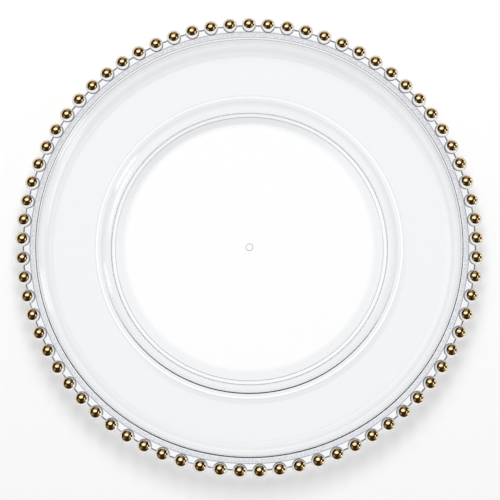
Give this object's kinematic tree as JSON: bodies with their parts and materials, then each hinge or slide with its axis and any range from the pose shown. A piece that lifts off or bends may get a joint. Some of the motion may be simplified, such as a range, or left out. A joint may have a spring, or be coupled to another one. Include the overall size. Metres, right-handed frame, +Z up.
{
  "type": "charger plate",
  "caption": "Clear round charger plate with a shallow well, a wide rim and a raised beaded edge, each clear bead capped in gold.",
  "frame": {"origin": "centre of the plate on the table, level with the foot ring's flat face", "axes": "+Z up out of the well along the plate's axis, +Y towards the bead that the picture shows at the top"},
  "size_m": [0.33, 0.3298, 0.023],
  "materials": {
    "clear_plastic": "polished water-clear moulding with a faint blue-grey tint",
    "gold_foil": "mirror-bright gold metallised film"
  },
  "bodies": {
    "root": {"clear_plate": "clear_plastic", "gold_caps_01": "gold_foil", "gold_caps_02": "gold_foil", "gold_caps_03": "gold_foil", "gold_caps_04": "gold_foil", "gold_caps_05": "gold_foil", "gold_caps_06": "gold_foil", "gold_caps_07": "gold_foil", "gold_caps_08": "gold_foil", "gold_caps_09": "gold_foil", "gold_caps_10": "gold_foil", "gold_caps_11": "gold_foil", "gold_caps_12": "gold_foil", "gold_caps_13": "gold_foil", "gold_caps_14": "gold_foil", "gold_caps_15": "gold_foil", "gold_caps_16": "gold_foil", "gold_caps_17": "gold_foil", "gold_caps_18": "gold_foil", "gold_caps_19": "gold_foil", "gold_caps_20": "gold_foil", "gold_caps_21": "gold_foil", "gold_caps_22": "gold_foil", "gold_caps_23": "gold_foil", "gold_caps_24": "gold_foil", "gold_caps_25": "gold_foil", "gold_caps_26": "gold_foil", "gold_caps_27": "gold_foil", "gold_caps_28": "gold_foil", "gold_caps_29": "gold_foil", "gold_caps_30": "gold_foil", "gold_caps_31": "gold_foil", "gold_caps_32": "gold_foil", "gold_caps_33": "gold_foil", "gold_caps_34": "gold_foil", "gold_caps_35": "gold_foil", "gold_caps_36": "gold_foil", "gold_caps_37": "gold_foil"}
  },
  "joints": []
}
